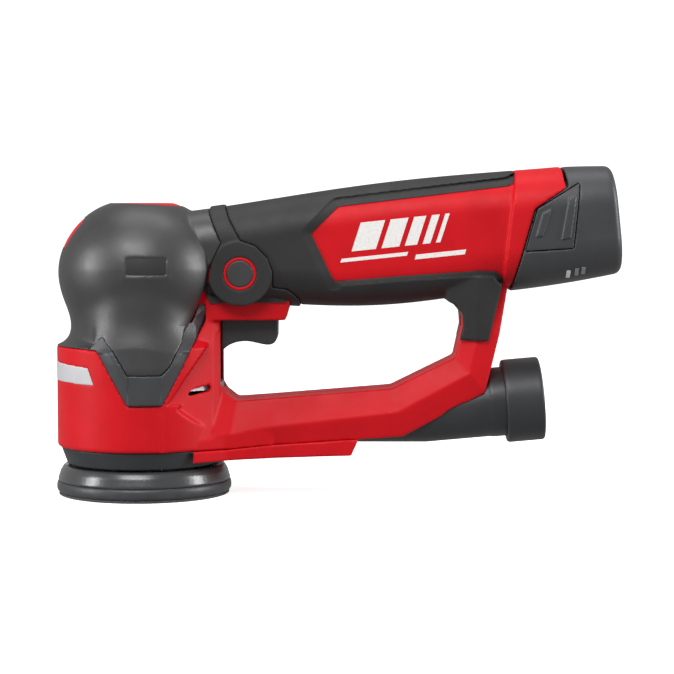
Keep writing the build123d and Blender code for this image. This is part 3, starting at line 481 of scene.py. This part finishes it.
# ---- Rubber grip and collar
# Rubber moulded over the handle, with a leg down the rear post and a raised collar round the lock
# button. Its edge falls away to the red side panel in a wide chamfer.
PANEL_EDGE = [(88.2, 98.6), (77.9, 120.0), (90.0, 132.2), (166.5, 141.5), (174.5, 145.0),
              (177.0, 150.0)]
PANEL_FOOT = [(88.2, 98.6), (118.0, 101.0), (154.0, 103.4), (161.5, 103.0), (165.0, 99.5)]
CHAMFER, CHAMFER_LIP, CHAMFER_RISE, FOOT_STEEPER, GRIP_FRONT = 4.0, 0.45, 1.35, 1.6, 70
grip_rubber = moulded_finish("grip_rubber", RUBBER, RUBBER_SHADE, 0.56, 0.45, 0.018, 0.10, RUBBER_EDGE_HIGHLIGHT)
set_shine(grip_rubber, 0.35)
for side in ("left", "right"):
    grip = soft_edged(f"grip_{side}", f"handle_grip_{side}")
    points = corners_of(grip)
    x, z = points[:, 0], points[:, 2]
    away = np.minimum(far_from_line(x, z, PANEL_EDGE), far_from_line(x, z, PANEL_FOOT) * FOOT_STEEPER)
    near_edge = np.nonzero((away < CHAMFER) & (x > GRIP_FRONT))[0]
    sign = -1 if side == "left" else 1
    for index in near_edge:
        start = Vector((x[index] * MM, sign * OUTSIDE, z[index] * MM))
        hit = casing_walls.ray_cast(start, Vector((0, -sign, 0)))[0]
        if hit is None:
            continue
        limit = abs(hit.y) / MM + CHAMFER_LIP + CHAMFER_RISE * away[index] / CHAMFER
        if abs(points[index, 1]) > limit:
            points[index, 1] = sign * limit
    reshape(grip, points)
    fit(grip, grip_rubber, "grip_rubber", f"grip_{side}")
    collar = soft_edged(f"collar_{side}", f"lock_collar_{side}", 0.5, 4)
    fit(collar, grip_rubber, "grip_rubber", f"collar_{side}")

FOOT = [(31.9, 88.6), (66.2, 88.8), (66.8, 94.4), (28.5, 98.0)]
FOOT_HEIGHT = 0.9
for side in ("left", "right"):
    laid_plate(f"collar_foot_{side}", FOOT, casing_walls, side, FOOT_HEIGHT, grip_rubber,
               (30, 8))

# ---- Lock button and its rings
# A round rubber-faced shuttle, pushed from side to side through both halves, locks the trigger.
# A red nylon ring is pressed into the collar round it on each side.
fit(soft_edged("lock_shuttle", "lock_button", 0.35, 4), rubber, "grip_rubber", "lock_shuttle")
for side in ("left", "right"):
    ring = soft_edged(f"lock_ring_{side}", f"button_ring_{side}", 0.25, 2)
    fit(ring, red_nylon, "red_shell", f"lock_ring_{side}")

# ---- Trigger, its spring and the switch
# A glass-filled nylon trigger slides up into the handle against a wire spring.
# At the end of its travel it presses the plunger of a small moulded switch.
BLACK_NYLON, BLACK_NYLON_SHADE = (0.030, 0.031, 0.034), (0.022, 0.023, 0.026)
black_nylon = moulded_finish("black_nylon", BLACK_NYLON, BLACK_NYLON_SHADE, 0.44, 0.32, 0.012)
fit(soft_edged("trigger", "trigger_lever", 0.45, 4), black_nylon, "black_plastic", "trigger")


def metal_finish(name, colour, rough, brushed=(1, 1, 1), size=0.8, depth=0.003):
    """Bare metal: drawn or turned marks, a little tarnish and uneven polish."""
    finish, nodes, links, shader, place = blank_finish(name)
    dull = tuple(c * 0.72 for c in colour)
    tarnish = marks(nodes, links, place, 6.0, 0.0, 1.0, 6.0)
    links.new(blend_colours(nodes, links, tarnish, colour, dull), shader.inputs["Base Color"])
    lines = marks(nodes, links, place, size, 0.0, 1.0, 3.0, brushed)
    polish = marks(nodes, links, place, size * 2, rough - 0.07, rough + 0.1, 4.0, brushed)
    links.new(polish, shader.inputs["Roughness"])
    emboss(nodes, links, shader, (lines, depth))
    shader.inputs["Metallic"].default_value = 1.0
    return finish


def dress(finish, *nodes, bevel=0.0):
    """Gives CAD nodes that show as they are their finish, with a broken edge where one is cut."""
    for node in nodes:
        part = frame["nodes"][node]
        part.data.materials.clear()
        part.data.materials.append(finish)
        if bevel:
            weld = part.modifiers.new("weld", "WELD")
            weld.merge_threshold = WELD_GAP
            edge = part.modifiers.new("edge", "BEVEL")
            edge.width = bevel * MM
            edge.segments = 2
            edge.limit_method = "ANGLE"
            edge.angle_limit = math.radians(35)
            edge.harden_normals = True


spring_steel = metal_finish("spring_steel", (0.52, 0.53, 0.55), 0.28, (1, 1, 6), 0.5)
dress(spring_steel, "trigger_spring")
dress(black_nylon, "switch_body", bevel=0.3)

# ---- Motor
# A brushless motor stands upright in the dome: stacked laminations, copper coils, a magnet core on the
# shaft, a metal can, a cast end bell, and a ball bearing at each end.
steel = metal_finish("bright_steel", (0.60, 0.61, 0.62), 0.25, (1, 1, 9), 0.9)
alloy = metal_finish("cast_alloy", (0.46, 0.47, 0.48), 0.5, (1, 1, 1), 0.5, 0.02)
dress(alloy, "motor_can", "end_bell", "bearing_plate", bevel=0.25)
dress(steel, "motor_shaft", "lower_bearing", "upper_bearing", "pad_bearing", bevel=0.12)


def stacked_sheet(name):
    """Electrical steel stamped in half-millimetre sheets and stacked along the shaft."""
    finish, nodes, links, shader, place = blank_finish(name)
    bands = nodes.new("ShaderNodeTexWave")
    bands.bands_direction = "Z"
    bands.inputs["Scale"].default_value = 320.0
    bands.inputs["Distortion"].default_value = 0.4
    links.new(place, bands.inputs["Vector"])
    sheets = bands.outputs[1]
    links.new(blend_colours(nodes, links, sheets, (0.10, 0.10, 0.11), (0.30, 0.30, 0.31)),
              shader.inputs["Base Color"])
    links.new(marks(nodes, links, place, 2.0, 0.35, 0.55), shader.inputs["Roughness"])
    emboss(nodes, links, shader, (sheets, 0.05))
    shader.inputs["Metallic"].default_value = 0.9
    return finish


def wound_copper(name):
    """Enamelled copper wire wound close, with its turns showing as fine ridges."""
    finish, nodes, links, shader, place = blank_finish(name)
    bands = nodes.new("ShaderNodeTexWave")
    bands.bands_direction = "DIAGONAL"
    bands.inputs["Scale"].default_value = 260.0
    bands.inputs["Distortion"].default_value = 1.2
    links.new(place, bands.inputs["Vector"])
    turns = bands.outputs[1]
    links.new(blend_colours(nodes, links, turns, (0.32, 0.09, 0.03), (0.72, 0.30, 0.12)),
              shader.inputs["Base Color"])
    links.new(marks(nodes, links, place, 1.0, 0.22, 0.38), shader.inputs["Roughness"])
    emboss(nodes, links, shader, (turns, 0.12))
    shader.inputs["Metallic"].default_value = 0.85
    return finish


laminations = stacked_sheet("stacked_sheet")
dress(laminations, "stator_core", "rotor_core", bevel=0.15)
dress(wound_copper("wound_copper"), "stator_coils", bevel=0.4)

# ---- Fan, counterweight and shroud
# The fan is moulded on the shaft below the motor and throws the dust into the duct. A brass weight
# balances the offset pad, and the screw below it holds the pad's bearing on the crank.
dress(black_nylon, "dust_fan", "fan_shroud", bevel=0.2)
brass = metal_finish("turned_brass", (0.62, 0.44, 0.18), 0.3, (1, 1, 7), 0.7)
dress(brass, "counterweight", bevel=0.3)
dress(steel, "crank_screw", bevel=0.12)

# ---- Flexible legs and skirt
# Four moulded rubber legs keep the pad from spinning with the crank.
# A soft rubber ring under the base closes the gap round them, so that the dust is drawn up the duct.
fit(soft_edged("flex_legs", "pad_legs", 0.4, 4), rubber, "grip_rubber", "flex_legs")
skirt_rubber = moulded_finish("skirt_rubber", (0.028, 0.031, 0.034), (0.022, 0.024, 0.027),
                              0.5, 0.45, 0.016)
fit(soft_edged("skirt", "dust_skirt", 0.45, 4), skirt_rubber, "grip_rubber", "skirt")

# ---- Pad
# A glass-filled plate carries a moulded foam disc with a hook facing for the sanding sheet.
# Three screws hold it to the alloy hub, and six holes draw the dust through it.
PAD_OFFSET = 1.5
FOAM_FOOT, FOAM_THICK, FOAM_RIM, FOAM_SWELL = 1.2, 5.2, 37.5, 0.35
pad_plastic = moulded_finish("pad_plastic", (0.044, 0.045, 0.047), (0.036, 0.037, 0.039),
                             0.27, 0.5, 0.004, coat=0.5)
fit(soft_edged("pad_plate", "pad_body", 0.4, 6), pad_plastic, "black_plastic", "pad_plate")


def foam_finish(name, colour, cell):
    """Moulded closed-cell foam: a smooth skin with small cells showing through it."""
    finish, nodes, links, shader, place = blank_finish(name)
    cells = nodes.new("ShaderNodeTexVoronoi")
    cells.inputs["Scale"].default_value = 1.0 / (cell * MM)
    links.new(place, cells.inputs["Vector"])
    dark = tuple(c * 0.7 for c in colour)
    mottle = marks(nodes, links, place, 5.0, 0.0, 1.0, 5.0)
    links.new(blend_colours(nodes, links, mottle, colour, dark), shader.inputs["Base Color"])
    links.new(marks(nodes, links, place, 3.0, 0.34, 0.46), shader.inputs["Roughness"])
    swirl = marks(nodes, links, place, 7.0, 0.0, 1.0)
    emboss(nodes, links, shader, (cells.outputs[0], 0.02), (swirl, 0.05))
    return finish


foam = soft_edged("backing_pad", "foam_disc", 0.45, 6)
points = corners_of(foam)
radius = np.hypot(points[:, 0], points[:, 1] - PAD_OFFSET)
lift = np.clip((points[:, 2] - FOAM_FOOT) / FOAM_THICK, 0, 1)
swell = np.where(radius > FOAM_RIM, FOAM_SWELL * np.sin(lift * math.pi), 0.0)
points[:, 0] += points[:, 0] / np.maximum(radius, 1) * swell
points[:, 1] += (points[:, 1] - PAD_OFFSET) / np.maximum(radius, 1) * swell
reshape(foam, points)
fit(foam, foam_finish("pad_foam", (0.050, 0.052, 0.056), 0.35), "foam", "backing_pad")


def hook_finish(name):
    """The hook facing: a dense field of nylon stems on a woven backing."""
    finish, nodes, links, shader, place = blank_finish(name)
    stems = nodes.new("ShaderNodeTexVoronoi")
    stems.inputs["Scale"].default_value = 1700.0
    links.new(place, stems.inputs["Vector"])
    links.new(blend_colours(nodes, links, stems.outputs[0], (0.10, 0.10, 0.11), (0.015, 0.015, 0.016)),
              shader.inputs["Base Color"])
    links.new(marks(nodes, links, place, 1.0, 0.6, 0.8), shader.inputs["Roughness"])
    emboss(nodes, links, shader, (stems.outputs[0], 0.25))
    return finish


fit(soft_edged("hook_face", "hook_facing", 0.4, 2), hook_finish("hook_facing"), "hook", "hook_face")
dress(alloy, "pad_hub", bevel=0.25)
dress(steel, "pad_screws", bevel=0.1)


def stud_finish(name):
    """Clear plastic studs that the plate is riveted with."""
    finish, nodes, links, shader, place = blank_finish(name)
    links.new(blend_colours(nodes, links, marks(nodes, links, place, 1.0, 0.0, 1.0), (0.42, 0.44, 0.46),
                            (0.34, 0.36, 0.38)), shader.inputs["Base Color"])
    links.new(marks(nodes, links, place, 0.6, 0.15, 0.3), shader.inputs["Roughness"])
    return finish


fit(soft_edged("rim_studs", "rim_rivets", 0.15, 3), stud_finish("clear_stud"), "stud_clear", "rim_studs")

# ---- Dust duct, its cover and the hose collar
# A moulded nylon duct runs back through the lower bar, and a red cover closes the bar below it.
# A collar for the hose is pushed over the duct's end and pulls off it.
cover = soft_edged("duct_cover", "duct_lid", 0.5, 4)
fit(cover, red_nylon, "red_shell", "duct_cover")
duct_plastic = moulded_finish("duct_plastic", BLACK_NYLON, BLACK_NYLON_SHADE, 0.42, 0.35, 0.012)
fit(soft_edged("dust_duct", "dust_pipe", 0.6, 5), duct_plastic, "black_plastic", "dust_duct")
fit(soft_edged("hose_adapter", "hose_collar", 0.45, 5), duct_plastic, "black_plastic", "hose_adapter")

# ---- Speed dial and electronics
# A thumbwheel sits in the rear post on a small potentiometer. The controller board lies in its tray
# in the handle, between the battery's terminals and the three leads that run to the motor.
fit(soft_edged("speed_dial", "speed_wheel", 0.25, 2), black_nylon, "black_plastic", "speed_dial")
dress(black_nylon, "dial_potentiometer", "controller_tray", "terminal_block", bevel=0.25)


def board_finish(name):
    """A fibreglass circuit board: green solder mask over copper tracks."""
    finish, nodes, links, shader, place = blank_finish(name)
    tracks = nodes.new("ShaderNodeTexBrick")
    tracks.inputs["Scale"].default_value = 160.0
    tracks.inputs["Color1"].default_value = (0.010, 0.10, 0.035, 1)
    tracks.inputs["Color2"].default_value = (0.014, 0.13, 0.045, 1)
    tracks.inputs["Mortar"].default_value = (0.03, 0.20, 0.07, 1)
    links.new(place, tracks.inputs["Vector"])
    links.new(tracks.outputs[0], shader.inputs["Base Color"])
    links.new(marks(nodes, links, place, 2.0, 0.25, 0.4), shader.inputs["Roughness"])
    emboss(nodes, links, shader, (tracks.outputs[1], 0.03))
    return finish


dress(board_finish("circuit_board"), "controller_board", bevel=0.1)
chip_black = moulded_finish("chip_black", (0.014, 0.014, 0.015), (0.02, 0.02, 0.021), 0.4, 0.2, 0.01)
dress(chip_black, "board_parts", bevel=0.15)
lead_blue = moulded_finish("lead_blue", (0.02, 0.06, 0.30), (0.015, 0.045, 0.24), 0.4, 0.3, 0.006)
dress(lead_blue, "motor_leads")

# ---- Battery
# A stem slides up into the handle. Three cells stand in it behind brass contacts, and the cap outside
# carries a ribbed latch on each side and a row of charge lights.
LIT_UP_TO = 0.196
cap_plastic = moulded_finish("cap_plastic", (0.046, 0.047, 0.050), (0.036, 0.037, 0.040),
                             0.43, 0.35, 0.012)
fit(soft_edged("battery_cap", "pack_cap", 0.5, 5), cap_plastic, "black_plastic", "battery_cap")
fit(soft_edged("battery_stem", "pack_stem", 0.6, 4), black_nylon, "black_plastic", "battery_stem")
cell_wrap = moulded_finish("cell_wrap", (0.05, 0.20, 0.16), (0.04, 0.16, 0.13), 0.28, 1.2, 0.01)
dress(cell_wrap, "battery_cells", bevel=0.3)
dress(metal_finish("contact_brass", (0.70, 0.52, 0.24), 0.24), "battery_contacts", bevel=0.1)
for side in ("left", "right"):
    tab = soft_edged(f"latch_{side}", f"pack_latch_{side}", 0.3, 3)
    fit(tab, cap_plastic, "black_plastic", f"latch_{side}")


def lens_finish(name, colour, glow):
    """A small moulded light window, frosted inside."""
    finish, nodes, links, shader, place = blank_finish(name)
    frost = marks(nodes, links, place, 0.6, 0.0, 1.0)
    dim = tuple(c * 0.7 for c in colour)
    links.new(blend_colours(nodes, links, frost, colour, dim), shader.inputs["Base Color"])
    links.new(marks(nodes, links, place, 0.5, 0.2, 0.35), shader.inputs["Roughness"])
    shader.inputs["Emission Color"].default_value = (*colour, 1)
    shader.inputs["Emission Strength"].default_value = glow
    return finish


lights = soft_edged("gauge_windows", "charge_lights", 0.2, 2)
fit(lights, lens_finish("light_window", (0.30, 0.31, 0.33), 0.0), "gauge_lens", "gauge_windows")
lights.data.materials.append(lens_finish("lit_window", (0.62, 0.63, 0.66), 0.15))
for face in lights.data.polygons:
    face.material_index = 1 if face.center.x < LIT_UP_TO else 0

# ---- Casing screws
# Six thread-forming steel screws join the halves. They are driven from the right, each down its own
# well in the right half, into a boss in the left half.
dress(steel, "shell_screws", bevel=0.12)

# ---- Floor, light and camera
# A white paper sweep, bright in itself so that it stays white and throws no colour on the tool.
# Two tall soft boxes stand at the sides, one broad one in front and one above.
SWEEP_FRONT, SWEEP_BACK, SWEEP_RISE, SWEEP_HALF = -2.5, 1.6, 2.6, 3.5
SWEEP_BEND, SWEEP_STEPS = 0.9, 12
profile = [(SWEEP_FRONT, 0.0), (SWEEP_BACK, 0.0)]
for step in range(1, SWEEP_STEPS + 1):
    angle = math.radians(step * 90 / SWEEP_STEPS)
    out, rise = SWEEP_BEND * math.sin(angle), SWEEP_BEND - SWEEP_BEND * math.cos(angle)
    profile.append((SWEEP_BACK + out, rise))
profile.append((SWEEP_BACK + SWEEP_BEND, SWEEP_RISE))
points = [(sx * SWEEP_HALF, y, z) for y, z in profile for sx in (-1, 1)]
strips = [(2 * k, 2 * k + 1, 2 * k + 3, 2 * k + 2) for k in range(len(profile) - 1)]
sweep_mesh = bpy.data.meshes.new("studio_sweep")
sweep_mesh.from_pydata(points, [], strips)
sweep = bpy.data.objects.new("studio_sweep", sweep_mesh)
bpy.context.scene.collection.objects.link(sweep)
sweep_mesh.polygons.foreach_set("use_smooth", [True] * len(sweep_mesh.polygons))
paper, nodes, links, shader, place = blank_finish("white_paper")
shader.inputs["Base Color"].default_value = (0.82, 0.82, 0.82, 1)
shader.inputs["Roughness"].default_value = 0.9
shader.inputs["Specular IOR Level"].default_value = 0.0
shader.inputs["Emission Color"].default_value = (1, 1, 1, 1)
shader.inputs["Emission Strength"].default_value = 0.80
sweep_mesh.materials.append(paper)
sweep.visible_diffuse = False
sweep.visible_glossy = False

world = bpy.data.worlds.new("studio")
world.use_nodes = True
world.node_tree.nodes["Background"].inputs["Color"].default_value = (1, 1, 1, 1)
world.node_tree.nodes["Background"].inputs["Strength"].default_value = 0.40
bpy.context.scene.world = world


def soft_box(name, at, width, height, power, aim=(0.085, 0.0, 0.08)):
    """A rectangular diffuser facing the tool."""
    lamp = bpy.data.lights.new(name, "AREA")
    lamp.shape = "RECTANGLE"
    lamp.size, lamp.size_y = width, height
    lamp.energy = power
    box = bpy.data.objects.new(name, lamp)
    bpy.context.scene.collection.objects.link(box)
    box.location = at
    box.rotation_euler = (Vector(aim) - Vector(at)).to_track_quat("-Z", "Y").to_euler()


soft_box("left_box", (-0.98, -0.36, 0.33), 0.26, 0.6, 6.5)
soft_box("right_box", (1.10, -0.14, 0.36), 0.24, 0.6, 7.0)
soft_box("front_box", (-0.20, -1.10, 1.15), 0.9, 0.6, 15.0)
soft_box("top_box", (0.10, 0.10, 1.15), 1.0, 0.5, 4.0)

target = Vector((0.0895, 0.0, 0.0721))
distance, pitch = 0.883, math.radians(3.65)
camera = bpy.data.objects.new("camera", bpy.data.cameras.new("camera"))
bpy.context.scene.collection.objects.link(camera)
camera.data.lens = 102.0
camera.data.sensor_width = 36.0
camera.location = target + Vector((0, -math.cos(pitch), math.sin(pitch))) * distance
camera.rotation_euler = (math.radians(90) - pitch, 0, 0)
bpy.context.scene.camera = camera
bpy.context.scene.view_settings.view_transform = "Standard"
